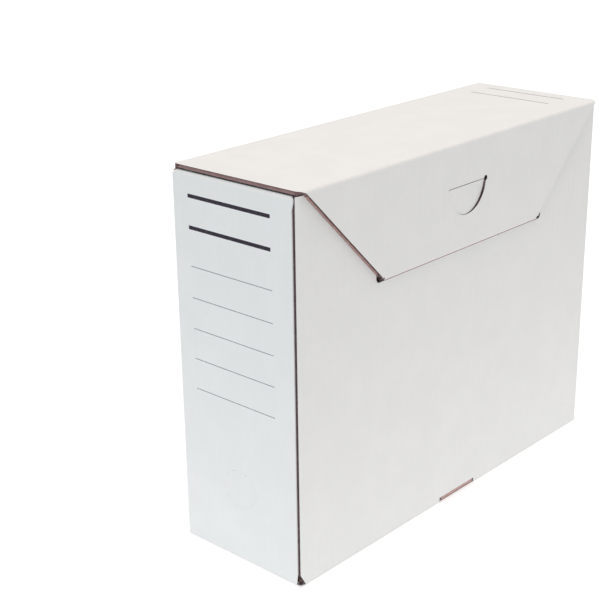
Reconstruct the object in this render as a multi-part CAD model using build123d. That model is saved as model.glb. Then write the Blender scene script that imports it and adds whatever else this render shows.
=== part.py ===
from build123d import *

import math
import os

# An archive box of single-wall corrugated board: one die-cut blank, folded up and glued at one seam.
# Every panel between two creases is a solid of its own, and so is each flap that can be pushed or folded.
# Millimetres, +Z up. The long side lies along X with the spine at -X, and the closing flap faces -Y.
# The origin is under the middle of the whole box, flap included, on the surface that it stands on.

# Board
BOARD = 3.0                      # thickness of the corrugated board
FOLD_GAP = 0.2                   # room round a crease that turns
GLUE_LINE = 0.1                  # glue between two lapped panels
REST_GAP = 0.3                   # air between panels that lie on each other

# Room inside
INSIDE_LENGTH = 324.0
INSIDE_WIDTH = 100.0
OVERALL_HEIGHT = 262.0

# Lid and the flap that closes it
LID_END_INSET = 1.5              # lid stops this far short of the outside of the end walls
LID_CORNER_CUT = 3.0             # small bevels on the lid's two back corners
FLAP_TOP_INSET = 5.0             # flap's slanted sides start this far in from the outside of the end walls
FLAP_DROP = 75.0                 # from the top of the lid to the flap's bottom fold
FLAP_SLANT = 45.0                # degrees from the vertical
FLAP_CORNER_RADIUS = 4.0

# Tongue along the flap's bottom edge
TONGUE_REACH = 9.3               # from the flap's inner face
TONGUE_SIDE_INSET = 3.0          # each end, from the flap's bottom corner
TONGUE_CORNER_RADIUS = 5.0

# Half-moon thumb tab cut in the flap
TAB_RADIUS = 20.5
TAB_CREASE_DROP = 29.5           # from the top of the lid to the tab's straight crease
TAB_CUT = 0.8                    # width of the cut round the tab
TAB_PUSHED_IN = 2.0              # degrees that the tab stands pushed in
TAB_STOP_HOLE_RADIUS = 1.3       # round holes that end the cut

# Slot in the front wall that the tongue goes into, with a recess for the thumb
SLOT_SHIFT = 2.5                 # middle of the front wall's cuts, beyond the middle of the box
SLOT_END_CLEARANCE = 7.0         # beyond each end of the tongue
SLOT_BELOW_FLAP = 1.1            # slot's lower edge under the flap's bottom fold
SLOT_HEIGHT = 22.0
SLOT_CORNER_RADIUS = 3.0
THUMB_RECESS_WIDTH = 52.0
THUMB_RECESS_OVER_CREASE = 4.0
THUMB_RECESS_RADIUS = 8.0

# Lock at the foot of the front wall
FOOT_NOTCH_WIDTH = 41.0
FOOT_TONGUE_WIDTH = 35.0
FOOT_NOTCH_CLEARANCE = 0.4       # over the tongue
FOOT_TONGUE_SETBACK = 0.3        # tongue's tip behind the wall's face
FOOT_CORNER_RISE = 9.0           # bevelled lower corner at the seam
FOOT_CORNER_RUN = 4.0
SEAM_EDGE_INSET = 0.8            # front wall's cut edge, from the outside of the spine

# Glue flap behind the front wall
GLUE_FLAP_WIDTH = 30.0
GLUE_FLAP_END_INSET = 12.0
GLUE_FLAP_TAPER = 8.0
GLUE_FOLD_END_RISE = 9.0         # slanted lower end of the fold to the spine

# Flaps under the lid, one on each end wall
DUST_FLAP_LENGTH = 68.0
DUST_FLAP_SIDE_GAP = 1.0
DUST_FLAP_CORNER_CUT = 14.0
END_BEND_BACK_NOTCH = 4.0        # small corner gap beside the lid's crease

# Flaps of the bottom panel, folded up and glued inside the walls
BOTTOM_FLAP_HEIGHT = 30.0        # above the surface that the box stands on
FRONT_BOTTOM_FLAP_CLEARANCE = 4.0 # from the glue flap's free edge
BOTTOM_FLAP_TAPER = 8.0
END_BOTTOM_FLAP_INSET = 5.0      # from the neighbouring walls' faces

# Finger hole that can be pushed in, low on the spine
FINGER_HOLE_RADIUS = 13.0
FINGER_HOLE_HEIGHT = 51.6
FINGER_HOLE_CUT = 0.5
FINGER_HINGE_WIDTH = 8.0

# Places that follow from the sizes
HALF_BOARD = BOARD / 2
SEAT_RADIUS = HALF_BOARD + FOLD_GAP
LENGTH = INSIDE_LENGTH + 2 * BOARD
OVERALL_WIDTH = INSIDE_WIDTH + 3 * BOARD + REST_GAP

SPINE_OUT = -LENGTH / 2
SPINE_IN = SPINE_OUT + BOARD
REAR_OUT = LENGTH / 2
REAR_IN = REAR_OUT - BOARD
FLAP_OUT = -OVERALL_WIDTH / 2
FLAP_IN = FLAP_OUT + BOARD
FRONT_OUT = FLAP_IN + REST_GAP
FRONT_IN = FRONT_OUT + BOARD
BACK_OUT = OVERALL_WIDTH / 2
BACK_IN = BACK_OUT - BOARD
LID_TOP = OVERALL_HEIGHT
LID_UNDER = LID_TOP - BOARD
WALL_TOP = LID_UNDER - REST_GAP
END_BEND_Z = WALL_TOP - BOARD

LID_AXIS_Y = BACK_OUT - HALF_BOARD
LID_AXIS_Z = LID_TOP - HALF_BOARD
FLAP_AXIS_Y = FLAP_OUT + HALF_BOARD
LID_HALF = LENGTH / 2 - LID_END_INSET
FLAP_TOP_HALF = LENGTH / 2 - FLAP_TOP_INSET
FLAP_BOTTOM = LID_TOP - FLAP_DROP
TONGUE_AXIS_Z = FLAP_BOTTOM + BOARD
FLAP_BOTTOM_HALF = FLAP_TOP_HALF - (LID_AXIS_Z - TONGUE_AXIS_Z) * math.tan(math.radians(FLAP_SLANT))
TONGUE_HALF = FLAP_BOTTOM_HALF - TONGUE_SIDE_INSET
TAB_CREASE_Z = LID_TOP - TAB_CREASE_DROP
SLOT_LOW = FLAP_BOTTOM - SLOT_BELOW_FLAP
SLOT_TOP = SLOT_LOW + SLOT_HEIGHT
SLOT_HALF = TONGUE_HALF + SLOT_END_CLEARANCE
SEAM_X = SPINE_OUT + SEAM_EDGE_INSET
GLUE_OUT = FRONT_IN + GLUE_LINE
GLUE_IN = GLUE_OUT + BOARD
BOTTOM_END = LENGTH / 2 - 2 * BOARD - GLUE_LINE
FINGER_HOLE_Y = (FRONT_OUT + BACK_OUT) / 2
FINGER_HINGE_Z = FINGER_HOLE_HEIGHT + math.sqrt(FINGER_HOLE_RADIUS ** 2 - (FINGER_HINGE_WIDTH / 2) ** 2)


def facing_front(y):
    """Drawing plane across the box at this depth: X to the right, Z up, thickness towards +Y."""
    return Plane(origin=(0, y, 0), x_dir=(1, 0, 0), z_dir=(0, -1, 0))


def facing_end(x):
    """Drawing plane along the box at this length: Y to the right, Z up, thickness towards +X."""
    return Plane(origin=(x, 0, 0), x_dir=(0, 1, 0), z_dir=(1, 0, 0))


def area(left, right, low, high):
    """Rectangle between two pairs of edges."""
    return Pos((left + right) / 2, (low + high) / 2) * Rectangle(right - left, high - low)


def outline(*points):
    """Straight-sided area through its corners."""
    return make_face(Polyline(*points, close=True))


def quarter_round(toward_right, toward_up):
    """Section of a folded edge: a quarter disc as thick as the board, about the inner crease."""
    return Circle(BOARD) & (Pos(toward_right * HALF_BOARD, toward_up * HALF_BOARD) * Rectangle(BOARD, BOARD))


def wall_across(y, shape):
    """Board standing across the box, its outer or inner face at this depth."""
    return extrude(facing_front(y) * shape, amount=-BOARD)


def wall_along(x, shape):
    """Board standing along the box."""
    return extrude(facing_end(x) * shape, amount=BOARD)


def board_flat(z, shape):
    """Board lying flat."""
    return extrude(Pos(0, 0, z) * shape, amount=BOARD)


def run_along_x(shape, start, end):
    """A section drawn in Y and Z, run along X."""
    return extrude(facing_end(start) * shape, amount=end - start)


def run_along_y(shape, start, end):
    """A section drawn in X and Z, run along Y."""
    return extrude(facing_front(start) * shape, amount=start - end)


def run_up(shape, start, end):
    """A section drawn in X and Y, run up along Z."""
    return extrude(Pos(0, 0, start) * shape, amount=end - start)


# Back wall: plain panel with the lid's crease along its top and the bottom's rounded fold along its foot
back_section = area(BACK_IN, BACK_OUT, BOARD, LID_AXIS_Z)
back_section -= area(BACK_IN, LID_AXIS_Y, LID_AXIS_Z - SEAT_RADIUS, LID_AXIS_Z)
back_section -= Pos(LID_AXIS_Y, LID_AXIS_Z) * Circle(SEAT_RADIUS)
back_section += Pos(BACK_IN, BOARD) * quarter_round(1, -1)
back_wall = run_along_x(back_section, SPINE_IN, REAR_IN)

# End walls: the spine's front fold leads to the glue flap, the rear one's to the front wall
finger_hole = Circle(FINGER_HOLE_RADIUS + FINGER_HOLE_CUT)
finger_hole -= area(-BOARD - FINGER_HOLE_RADIUS, BOARD + FINGER_HOLE_RADIUS,
                    FINGER_HINGE_Z - FINGER_HOLE_HEIGHT, BOARD + FINGER_HOLE_RADIUS)
finger_hole = Pos(FINGER_HOLE_Y, FINGER_HOLE_HEIGHT) * finger_hole


def end_wall(outside, inside, front_fold, turn):
    """Panel with rounded upright folds and the rounded bend of the flap under the lid."""
    shape = area(front_fold, BACK_IN, 0, END_BEND_Z)
    if turn < 0:
        shape -= finger_hole
    wall = wall_along(min(outside, inside), shape)
    wall += run_up(Pos(inside, front_fold) * quarter_round(turn, -1), 0, END_BEND_Z)
    wall += run_up(Pos(inside, BACK_IN) * quarter_round(turn, 1), 0, END_BEND_Z)
    bend = Pos(inside, END_BEND_Z) * quarter_round(turn, 1)
    return wall + run_along_y(bend, front_fold, BACK_IN - END_BEND_BACK_NOTCH)


spine_wall = end_wall(SPINE_OUT, SPINE_IN, GLUE_IN, -1)
spine_wall -= wall_along(SPINE_OUT, outline((GLUE_IN, 0), (GLUE_IN - BOARD, 0), (GLUE_IN - BOARD, GLUE_FOLD_END_RISE)))
rear_end_wall = end_wall(REAR_OUT, REAR_IN, FRONT_IN, 1)

# Front wall: cut edge at the seam, slot for the tongue with a thumb recess, and a notch at the foot
lock_slot = area(-SLOT_HALF, SLOT_HALF, SLOT_LOW, SLOT_TOP)
lock_slot = fillet(lock_slot.vertices(), SLOT_CORNER_RADIUS)
thumb_recess = area(-THUMB_RECESS_WIDTH / 2, THUMB_RECESS_WIDTH / 2, SLOT_LOW + SLOT_HEIGHT / 2,
                    TAB_CREASE_Z + THUMB_RECESS_OVER_CREASE)
thumb_recess = fillet(thumb_recess.vertices().sort_by(Axis.Y)[-2:], THUMB_RECESS_RADIUS)
foot_notch = area(-FOOT_NOTCH_WIDTH / 2, FOOT_NOTCH_WIDTH / 2, 0, BOARD + FOOT_NOTCH_CLEARANCE)
front_shape = outline((SEAM_X, WALL_TOP), (SEAM_X, FOOT_CORNER_RISE), (SEAM_X + FOOT_CORNER_RUN, 0),
                      (REAR_IN, 0), (REAR_IN, WALL_TOP))
front_shape -= Pos(SLOT_SHIFT, 0) * (lock_slot + thumb_recess + foot_notch)
front_wall = wall_across(FRONT_OUT, front_shape)

# Glue flap: turned in from the spine and glued behind the front wall's cut edge
glue_low = GLUE_FLAP_END_INSET
glue_high = WALL_TOP - GLUE_FLAP_END_INSET
glue_edge = SPINE_IN + GLUE_FLAP_WIDTH
glue_flap = wall_across(GLUE_OUT, outline((SPINE_IN, glue_low), (glue_edge, glue_low + GLUE_FLAP_TAPER),
                                          (glue_edge, glue_high - GLUE_FLAP_TAPER), (SPINE_IN, glue_high)))

# Bottom panel: turned in from the back wall, with rounded folds and the tongue that plugs the foot notch
front_fold_half = -SPINE_IN - GLUE_FLAP_WIDTH - FRONT_BOTTOM_FLAP_CLEARANCE
tongue_left = SLOT_SHIFT - FOOT_TONGUE_WIDTH / 2
tongue_right = SLOT_SHIFT + FOOT_TONGUE_WIDTH / 2
tongue_room = FOOT_NOTCH_WIDTH / 2
end_fold_front = GLUE_IN + END_BOTTOM_FLAP_INSET
end_fold_back = BACK_IN - END_BOTTOM_FLAP_INSET
bottom_shape = area(-BOTTOM_END, BOTTOM_END, GLUE_IN, BACK_IN)
bottom_shape += area(tongue_left, tongue_right, FRONT_OUT + FOOT_TONGUE_SETBACK, GLUE_IN)
bottom_panel = board_flat(0, bottom_shape)
front_fold = Pos(GLUE_IN, BOARD) * quarter_round(-1, -1)
bottom_panel += run_along_x(front_fold, -front_fold_half, SLOT_SHIFT - tongue_room)
bottom_panel += run_along_x(front_fold, SLOT_SHIFT + tongue_room, front_fold_half)
for side in (-1, 1):
    end_fold = Pos(side * BOTTOM_END, BOARD) * quarter_round(side, -1)
    bottom_panel += run_along_y(end_fold, end_fold_front, end_fold_back)

# Flaps folded up from the bottom panel and glued inside the walls
flap_top_half = front_fold_half - BOTTOM_FLAP_TAPER
front_flap_shape = outline((-front_fold_half, BOARD), (front_fold_half, BOARD),
                           (flap_top_half, BOTTOM_FLAP_HEIGHT), (-flap_top_half, BOTTOM_FLAP_HEIGHT))
tongue_cut_from_flap = GLUE_IN - FRONT_OUT - FOOT_TONGUE_SETBACK
front_flap_shape -= area(SLOT_SHIFT - tongue_room, SLOT_SHIFT + tongue_room, 0, BOARD + tongue_cut_from_flap)
front_bottom_flap = wall_across(GLUE_OUT, front_flap_shape)
end_flap_shape = outline((end_fold_front, BOARD), (end_fold_back, BOARD),
                         (end_fold_back - BOTTOM_FLAP_TAPER, BOTTOM_FLAP_HEIGHT),
                         (end_fold_front + BOTTOM_FLAP_TAPER, BOTTOM_FLAP_HEIGHT))
spine_bottom_flap = wall_along(-BOTTOM_END - BOARD, end_flap_shape)
rear_bottom_flap = wall_along(BOTTOM_END, end_flap_shape)

# Lid: rounded crease bead along the back, hollow seat for the flap's crease along the front
lid_section = area(FLAP_AXIS_Y, LID_AXIS_Y, LID_UNDER, LID_TOP)
lid_section -= area(FLAP_AXIS_Y, FLAP_AXIS_Y + SEAT_RADIUS, LID_UNDER, LID_AXIS_Z)
lid_section -= Pos(FLAP_AXIS_Y, LID_AXIS_Z) * Circle(SEAT_RADIUS)
lid_section += Pos(LID_AXIS_Y, LID_AXIS_Z) * Circle(HALF_BOARD)
lid_outline = area(-LID_HALF, LID_HALF, FLAP_OUT, BACK_OUT)
lid_outline = chamfer(lid_outline.vertices().sort_by(Axis.Y)[-2:], LID_CORNER_CUT)
lid_panel = run_along_x(lid_section, -LID_HALF, LID_HALF) & board_flat(LID_UNDER, lid_outline)

# Closing flap: hangs from the lid's front crease, with slanted sides, the tab's half-moon cut and a bottom fold
flap_shape = outline((-FLAP_BOTTOM_HALF, TONGUE_AXIS_Z), (FLAP_BOTTOM_HALF, TONGUE_AXIS_Z),
                     (FLAP_TOP_HALF, LID_AXIS_Z), (-FLAP_TOP_HALF, LID_AXIS_Z))
flap_shape = fillet(flap_shape.vertices().sort_by(Axis.Y)[:2], FLAP_CORNER_RADIUS)
tab_below_crease = Pos(0, TAB_CREASE_Z) * (Circle(TAB_RADIUS + TAB_CUT) -
                                           area(-TAB_RADIUS - BOARD, TAB_RADIUS + BOARD, 0, TAB_RADIUS + BOARD))
stop_holes = Pos(-TAB_RADIUS, TAB_CREASE_Z) * Circle(TAB_STOP_HOLE_RADIUS)
stop_holes += Pos(TAB_RADIUS, TAB_CREASE_Z) * Circle(TAB_STOP_HOLE_RADIUS)
closure_flap = wall_across(FLAP_OUT, flap_shape - tab_below_crease - stop_holes)
closure_flap += run_along_x(Pos(FLAP_AXIS_Y, LID_AXIS_Z) * Circle(HALF_BOARD), -FLAP_TOP_HALF, FLAP_TOP_HALF)
closure_flap += run_along_x(Pos(FLAP_IN, TONGUE_AXIS_Z) * quarter_round(-1, -1), -TONGUE_HALF, TONGUE_HALF)

# Tongue: turned in from the flap's bottom fold, through the slot
tongue_shape = area(-TONGUE_HALF, TONGUE_HALF, FLAP_IN + FOLD_GAP, FLAP_IN + TONGUE_REACH)
tongue_shape = fillet(tongue_shape.vertices().sort_by(Axis.Y)[-2:], TONGUE_CORNER_RADIUS)
tuck_tongue = board_flat(FLAP_BOTTOM, tongue_shape)

# Thumb tab: half-moon left hanging from its crease, standing a little pushed in
tab_shape = Circle(TAB_RADIUS) - area(-TAB_RADIUS - BOARD, TAB_RADIUS + BOARD, -FOLD_GAP, TAB_RADIUS + BOARD)
tab_shape = (Pos(0, TAB_CREASE_Z) * tab_shape) - stop_holes
tab_crease = Axis((0, FLAP_IN, TAB_CREASE_Z), (1, 0, 0))
thumb_tab = wall_across(FLAP_OUT, tab_shape).rotate(tab_crease, TAB_PUSHED_IN)

# Flaps under the lid: tapered panels turned in from the end walls
def dust_flap(inside, front, turn):
    """Panel that starts at the end wall's bend and reaches along the box, its free corners cut off."""
    start = inside - turn * FOLD_GAP
    end = inside - turn * DUST_FLAP_LENGTH
    corner = end + turn * DUST_FLAP_CORNER_CUT
    back = BACK_IN - END_BEND_BACK_NOTCH
    return board_flat(END_BEND_Z, outline((start, front), (corner, front), (end, front + DUST_FLAP_CORNER_CUT),
                                          (end, back - DUST_FLAP_CORNER_CUT), (corner, back), (start, back)))


spine_dust_flap = dust_flap(SPINE_IN, GLUE_IN + DUST_FLAP_SIDE_GAP, -1)
rear_dust_flap = dust_flap(REAR_IN, FRONT_IN + DUST_FLAP_SIDE_GAP, 1)

# Disc of the finger hole, hanging from a short crease at its top
disc_shape = Circle(FINGER_HOLE_RADIUS)
disc_shape -= area(-BOARD - FINGER_HOLE_RADIUS, BOARD + FINGER_HOLE_RADIUS,
                   FINGER_HINGE_Z - FINGER_HOLE_HEIGHT - FOLD_GAP, BOARD + FINGER_HOLE_RADIUS)
finger_disc = wall_along(SPINE_OUT, Pos(FINGER_HOLE_Y, FINGER_HOLE_HEIGHT) * disc_shape)

pieces = {
    "back_wall": back_wall,
    "spine_wall": spine_wall,
    "rear_end_wall": rear_end_wall,
    "front_wall": front_wall,
    "glue_flap": glue_flap,
    "bottom_panel": bottom_panel,
    "front_bottom_flap": front_bottom_flap,
    "spine_bottom_flap": spine_bottom_flap,
    "rear_bottom_flap": rear_bottom_flap,
    "lid_panel": lid_panel,
    "closure_flap": closure_flap,
    "tuck_tongue": tuck_tongue,
    "thumb_tab": thumb_tab,
    "spine_dust_flap": spine_dust_flap,
    "rear_dust_flap": rear_dust_flap,
    "finger_disc": finger_disc,
}

os.makedirs("parts", exist_ok=True)
for name, piece in pieces.items():
    export_step(piece, os.path.join("parts", name + ".step"))
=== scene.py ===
import math

import bpy
from mathutils import Matrix


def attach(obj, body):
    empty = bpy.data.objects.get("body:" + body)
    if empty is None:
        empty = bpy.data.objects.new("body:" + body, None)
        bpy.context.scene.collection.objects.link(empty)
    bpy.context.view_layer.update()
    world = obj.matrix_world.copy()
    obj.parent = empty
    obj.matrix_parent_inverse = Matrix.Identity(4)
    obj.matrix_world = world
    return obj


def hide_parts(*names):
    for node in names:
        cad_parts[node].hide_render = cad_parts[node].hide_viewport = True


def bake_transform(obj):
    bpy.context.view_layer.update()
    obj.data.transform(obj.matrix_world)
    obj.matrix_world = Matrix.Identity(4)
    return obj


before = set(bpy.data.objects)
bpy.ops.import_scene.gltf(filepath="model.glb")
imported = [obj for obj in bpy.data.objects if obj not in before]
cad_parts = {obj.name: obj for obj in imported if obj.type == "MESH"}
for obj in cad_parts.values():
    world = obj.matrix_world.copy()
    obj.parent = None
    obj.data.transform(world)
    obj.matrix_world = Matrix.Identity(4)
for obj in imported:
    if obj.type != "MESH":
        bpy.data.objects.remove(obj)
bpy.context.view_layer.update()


# Back wall: the large plain panel behind, from the bottom fold up to the lid's crease.
# Single-wall corrugated board with upright flutes: white paper outside, brown inside, a wavy core between.
# The three papers are glued to one board, cut to shape by steel rules and folded along pressed creases.
BOARD = 0.003
PAPER = 0.0003
CORE_PAPER = 0.00022
FLUTE_PITCH = 0.0064
FLUTE_SWING = 0.00105
WALL_HALF = 0.162
BACK_IN = 0.05165
FLOOR_FOLD = 0.003
LID_UNDER = 0.259
CREASE_ROOM = 0.0015
STEPS_PER_FLUTE = 10
FOLD_STEPS = 16
SAME_PLACE = 1e-6
SMOOTH_ANGLE = math.radians(30)
# The last finish slot holds raw edges painted paler or darker than the board: painted light and painted
# shade.
OUTSIDE, INSIDE, CUT, CORE, LIGHT_AND_SHADE_CUT = range(5)


def clear_selection():
    """Back to object mode with nothing selected, so that the next operator acts on one piece only."""
    if bpy.context.object and bpy.context.object.mode != "OBJECT":
        bpy.ops.object.mode_set(mode="OBJECT")
    bpy.ops.object.select_all(action="DESELECT")


def pick(piece):
    """Selects this piece alone."""
    clear_selection()
    piece.select_set(True)
    bpy.context.view_layer.objects.active = piece


def face_outwards(piece):
    """Turns all faces of a closed piece outwards."""
    pick(piece)
    bpy.ops.object.mode_set(mode="EDIT")
    bpy.ops.mesh.select_all(action="SELECT")
    bpy.ops.mesh.normals_make_consistent(inside=False)
    bpy.ops.object.mode_set(mode="OBJECT")


def blank(corners, low=0.0, high=BOARD):
    """Plate of this outline, drawn across and along the flutes, between two depths of the board."""
    clear_selection()
    bpy.ops.mesh.primitive_circle_add(vertices=len(corners), radius=1.0, fill_type="NGON")
    piece = bpy.context.object
    for vertex, (across, along) in zip(piece.data.vertices, corners):
        vertex.co = (across, along, low)
    bpy.ops.object.mode_set(mode="EDIT")
    bpy.ops.mesh.select_all(action="SELECT")
    bpy.ops.mesh.extrude_region_move(TRANSFORM_OT_translate={"value": (0.0, 0.0, high - low)})
    bpy.ops.object.mode_set(mode="OBJECT")
    face_outwards(piece)
    return piece


def rectangle(left, right, low, high):
    """Corners of an upright rectangle."""
    return [(left, low), (right, low), (right, high), (left, high)]


def combine(piece, tool, way="DIFFERENCE"):
    """Cuts the tool out of the piece, or keeps what both share, and clears the tool away."""
    pick(piece)
    step = piece.modifiers.new("cut", "BOOLEAN")
    step.operation = way
    step.solver = "EXACT"
    step.object = tool
    bpy.ops.object.modifier_apply(modifier=step.name)
    bpy.data.objects.remove(tool)


def copy_of(piece):
    """Copy with a mesh of its own."""
    twin = piece.copy()
    twin.data = piece.data.copy()
    bpy.context.collection.objects.link(twin)
    return twin


def wavy_core(cut_shape, start):
    """Fluted core paper, trimmed to the cut shape. start is the wave's phase at the left edge, in turns."""
    places = [vertex.co for vertex in cut_shape.data.vertices]
    left = min(place.x for place in places)
    right = max(place.x for place in places)
    low = min(place.y for place in places)
    high = max(place.y for place in places)
    pitch = (right - left) / max(1, round((right - left) / FLUTE_PITCH))
    over = 0.0005
    steps = round((right - left + 2 * over) / pitch * STEPS_PER_FLUTE)
    clear_selection()
    bpy.ops.mesh.primitive_grid_add(x_subdivisions=steps, y_subdivisions=1, size=1.0)
    core = bpy.context.object
    for vertex in core.data.vertices:
        across = left - over + (vertex.co.x + 0.5) * (right - left + 2 * over)
        along = low - over + (vertex.co.y + 0.5) * (high - low + 2 * over)
        turn = 2 * math.pi * ((across - left) / pitch + start)
        vertex.co = (across, along, BOARD / 2 + FLUTE_SWING * math.cos(turn))
    thicken = core.modifiers.new("thickness", "SOLIDIFY")
    thicken.thickness = CORE_PAPER
    thicken.offset = 0.0
    bpy.ops.object.modifier_apply(modifier=thicken.name)
    combine(core, copy_of(cut_shape), "INTERSECT")
    return core


def weld(main, *others):
    """Joins pieces of one board to the first one."""
    pick(main)
    for other in others:
        other.select_set(True)
    bpy.ops.object.join()


def dress(piece, name, finishes):
    """Names a piece and its mesh, and gives it these finishes."""
    piece.name = name
    piece.data.name = name
    piece.data.materials.clear()
    for finish in finishes:
        piece.data.materials.append(finish)


def corrugated(name, cut_shape, place, outside, inside, raw, start=0.0):
    """Board from a cut blank: outer paper, inner paper and wavy core, then set in the box by place.

    raw holds the finishes of the papers' cut edges and of the core.
    """
    core = wavy_core(cut_shape, start)
    outer = copy_of(cut_shape)
    for vertex in outer.data.vertices:
        vertex.co.z = BOARD if vertex.co.z > BOARD / 2 else BOARD - PAPER
    inner = cut_shape
    for vertex in inner.data.vertices:
        vertex.co.z = PAPER if vertex.co.z > BOARD / 2 else 0.0
    for layer in (outer, inner, core):
        dress(layer, name, (outside, inside, *raw))
        for face in layer.data.polygons:
            face.material_index = CORE if layer is core else CUT
    for face in outer.data.polygons:
        if face.center.z > BOARD - PAPER / 4:
            face.material_index = OUTSIDE
    for face in inner.data.polygons:
        if face.center.z < PAPER / 4:
            face.material_index = INSIDE
    weld(outer, inner, core)
    for vertex in outer.data.vertices:
        vertex.co = place(*vertex.co)
    face_outwards(outer)
    return outer


def fold_section(room_first, room_second, radius, crushed=0.0):
    """Section of a right-angled fold from one board's end to the next one's.

    crushed thins it at the inner crease.
    """
    points = [(0.0, -room_first), (BOARD, -room_first)]
    middle = BOARD - radius
    for step in range(FOLD_STEPS + 1):
        turn = math.pi / 2 * step / FOLD_STEPS
        points.append((middle + radius * math.cos(turn), middle + radius * math.sin(turn)))
    points += [(-room_second, BOARD), (-room_second, 0.0)]
    if room_first and room_second:
        points.append((crushed, crushed))
    return [point for number, point in enumerate(points) if math.dist(point, points[number - 1]) > SAME_PLACE]


def fold_bar(name, section, ends, place, outside, inside, raw):
    """Bent stretch of board of this section. ends gives its two ends for a point of the section."""
    bar = blank(section, 0.0, 1.0)
    dress(bar, name, (outside, inside, raw))
    for face in bar.data.polygons:
        reach = math.hypot(face.center.x, face.center.y)
        at_end = abs(face.normal.z) > 0.5
        if reach > 0.9 * BOARD and not at_end:
            face.material_index = OUTSIDE
        elif reach < 0.45 * BOARD and not at_end:
            face.material_index = INSIDE
        else:
            face.material_index = CUT
    for vertex in bar.data.vertices:
        first, second = ends(vertex.co.x, vertex.co.y)
        vertex.co = place(vertex.co.x, vertex.co.y, first if vertex.co.z < 0.5 else second)
    face_outwards(bar)
    pick(bar)
    bpy.ops.object.shade_smooth_by_angle(angle=SMOOTH_ANGLE)
    return bar


def group_tree(name, inputs, outputs):
    """Empty node group with these number sockets, and its two end nodes."""
    tree = bpy.data.node_groups.new(name, "ShaderNodeTree")
    for way, labels in (("INPUT", inputs), ("OUTPUT", outputs)):
        for label in labels:
            tree.interface.new_socket(name=label, in_out=way, socket_type="NodeSocketFloat")
    return tree, tree.nodes.new("NodeGroupInput"), tree.nodes.new("NodeGroupOutput")


def feed(tree, socket, value):
    """Sets a socket to a value, or links it to another socket."""
    if isinstance(value, bpy.types.NodeSocket):
        tree.links.new(value, socket)
    else:
        socket.default_value = value


def figure(tree, operation, first, second=0.0, third=0.0):
    """Result of one sum or comparison."""
    node = tree.nodes.new("ShaderNodeMath")
    node.operation = operation
    for socket, value in zip(node.inputs, (first, second, third)):
        feed(tree, socket, value)
    return node.outputs[0]


def graded(tree, value, low, high, to_low=0.0, to_high=1.0):
    """Value moved from one range to another, without overshoot."""
    node = tree.nodes.new("ShaderNodeMapRange")
    node.interpolation_type = "SMOOTHSTEP"
    for socket, number in zip(node.inputs, (value, low, high, to_low, to_high)):
        feed(tree, socket, number)
    return node.outputs[0]


def mixed(tree, share, first, second):
    """Blend of two colours."""
    node = tree.nodes.new("ShaderNodeMix")
    node.data_type = "RGBA"
    feed(tree, node.inputs["Factor"], share)
    feed(tree, node.inputs["A"], first)
    feed(tree, node.inputs["B"], second)
    return node.outputs["Result"]


def speckle(tree, where, scale, detail=2.0, rough=0.5):
    """Noise value at a place."""
    node = tree.nodes.new("ShaderNodeTexNoise")
    feed(tree, node.inputs["Vector"], where)
    node.inputs["Scale"].default_value = scale
    node.inputs["Detail"].default_value = detail
    node.inputs["Roughness"].default_value = rough
    return node.outputs["Fac"]


def stretched(tree, where, scale):
    """Place scaled differently along X, Y and Z."""
    node = tree.nodes.new("ShaderNodeMapping")
    feed(tree, node.inputs["Vector"], where)
    node.inputs["Scale"].default_value = scale
    return node.outputs["Vector"]


# Paper made from pulp: soft clouds in its tone, short fibres that lie every way, and a few dark flecks
paper_pulp, _, pulp_out = group_tree("paper_pulp", [], ["Clouds", "Fibres", "Flecks"])
pulp_place = paper_pulp.nodes.new("ShaderNodeTexCoord").outputs["Object"]
clouds = speckle(paper_pulp, pulp_place, scale=38.0, detail=4.0, rough=0.6)
fibres_one = speckle(paper_pulp, stretched(paper_pulp, pulp_place, (1.0, 3.5, 3.0)), scale=900.0)
fibres_two = speckle(paper_pulp, stretched(paper_pulp, pulp_place, (3.5, 1.0, 0.7)), scale=1000.0)
fibres = figure(paper_pulp, "MULTIPLY", figure(paper_pulp, "ADD", fibres_one, fibres_two), 0.5)
specks = speckle(paper_pulp, stretched(paper_pulp, pulp_place, (1.0, 1.0, 0.6)), scale=1300.0, detail=1.0)
feed(paper_pulp, pulp_out.inputs["Clouds"], clouds)
feed(paper_pulp, pulp_out.inputs["Fibres"], fibres)
feed(paper_pulp, pulp_out.inputs["Flecks"], graded(paper_pulp, specks, 0.72, 0.78))

# Washboard: the flutes press through the paper as faint even ridges, bumped into the surface and also painted
# faintly into its tone as painted shade
washboard, board_in, board_out = group_tree("washboard", ["Across"], ["Ridges"])
ridge_turn = figure(washboard, "MULTIPLY", board_in.outputs["Across"], 2 * math.pi / FLUTE_PITCH)
ridge = figure(washboard, "MULTIPLY_ADD", figure(washboard, "COSINE", ridge_turn), 0.5, 0.5)
feed(washboard, board_out.inputs["Ridges"], ridge)

# Rubbed edges: how near the box's own outer edges are
HALF_LENGTH, HALF_WIDTH, HEIGHT = 0.165, 0.0545, 0.262
RUB_RUN, RUB_FULL = 0.0030, 0.0002
edge_rub, _, rub_out = group_tree("edge_rub", [], ["Rub"])
rub_place = edge_rub.nodes.new("ShaderNodeTexCoord").outputs["Object"]
rub_split = edge_rub.nodes.new("ShaderNodeSeparateXYZ")
feed(edge_rub, rub_split.inputs[0], rub_place)
from_ends = figure(edge_rub, "SUBTRACT", HALF_LENGTH, figure(edge_rub, "ABSOLUTE", rub_split.outputs["X"]))
from_sides = figure(edge_rub, "SUBTRACT", HALF_WIDTH, figure(edge_rub, "ABSOLUTE", rub_split.outputs["Y"]))
from_top = figure(edge_rub, "SUBTRACT", HEIGHT, rub_split.outputs["Z"])
from_floor = figure(edge_rub, "MINIMUM", rub_split.outputs["Z"], from_top)
nearest = figure(edge_rub, "MINIMUM", from_ends, figure(edge_rub, "MINIMUM", from_sides, from_floor))
farthest = figure(edge_rub, "MAXIMUM", from_ends, figure(edge_rub, "MAXIMUM", from_sides, from_floor))
all_three = figure(edge_rub, "ADD", from_ends, figure(edge_rub, "ADD", from_sides, from_floor))
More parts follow.
